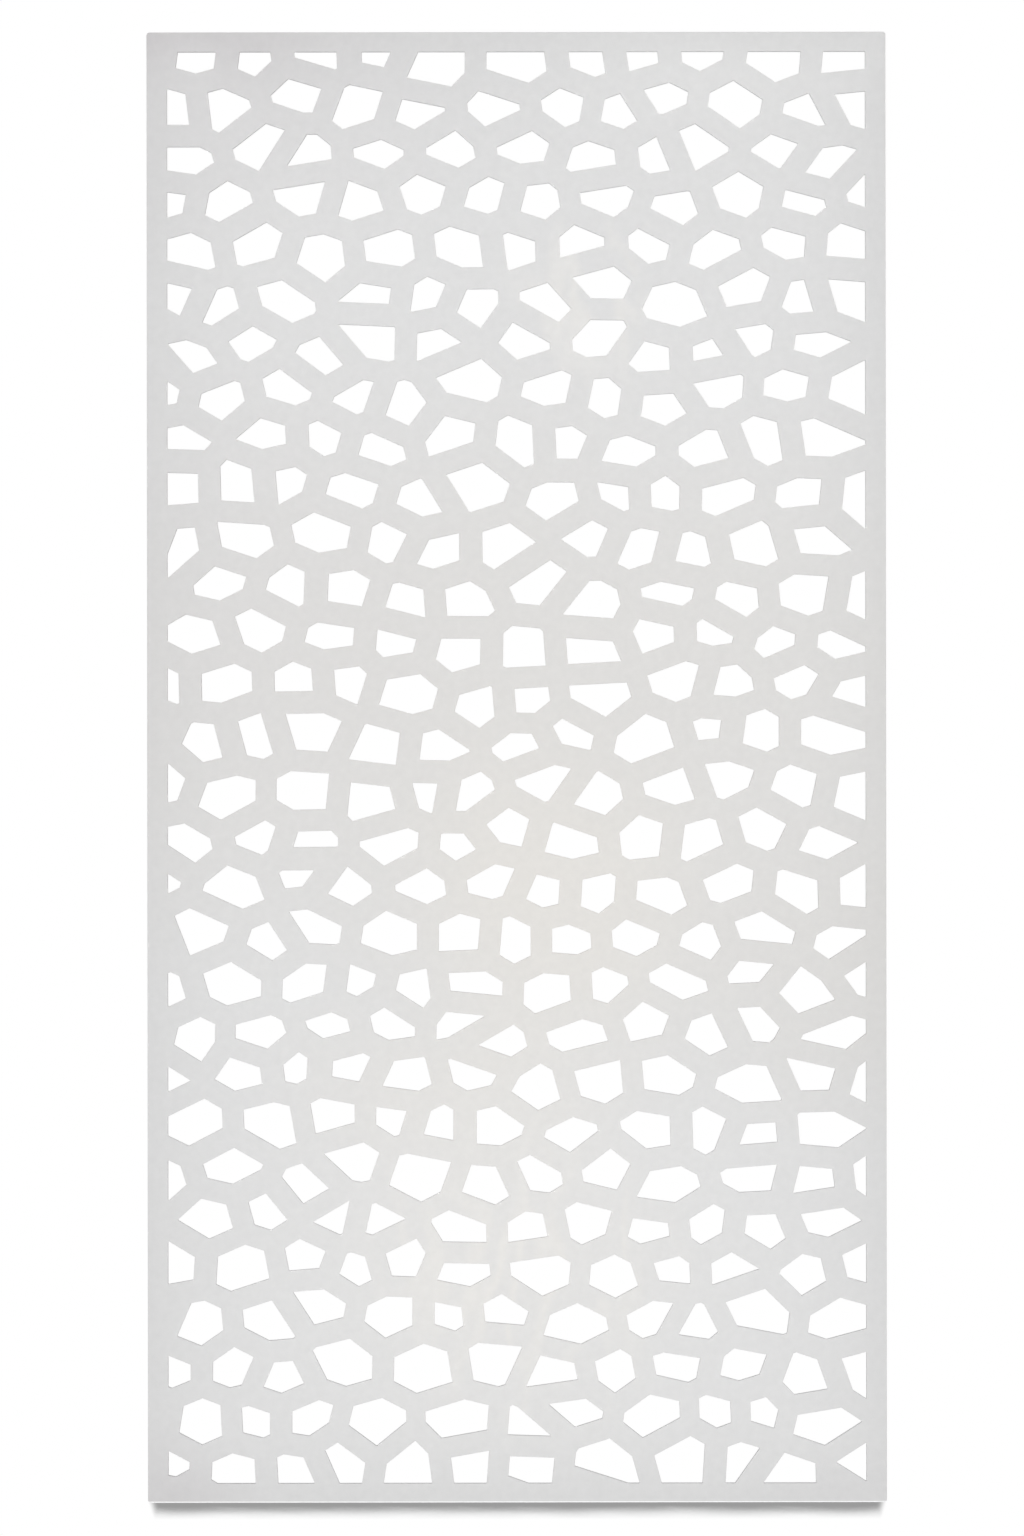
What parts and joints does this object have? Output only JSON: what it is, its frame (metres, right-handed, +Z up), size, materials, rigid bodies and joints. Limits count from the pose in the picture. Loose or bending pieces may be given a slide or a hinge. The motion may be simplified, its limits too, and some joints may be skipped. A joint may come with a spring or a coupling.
{
  "type": "room divider panel",
  "caption": "Flat rectangular screen panel, one moulded sheet pierced by angular openings that leave a net of even ribs inside a plain border.",
  "frame": {"origin": "middle of the top edge, at half the sheet's thickness", "axes": "+X to the right seen from the front, +Z up, the front face looks towards -Y"},
  "size_m": [1, 0.005, 1.99],
  "materials": {
    "panel": "satin moulded plastic, off-white, faint flow marks"
  },
  "bodies": {
    "root": {"panel": "panel"}
  },
  "joints": []
}
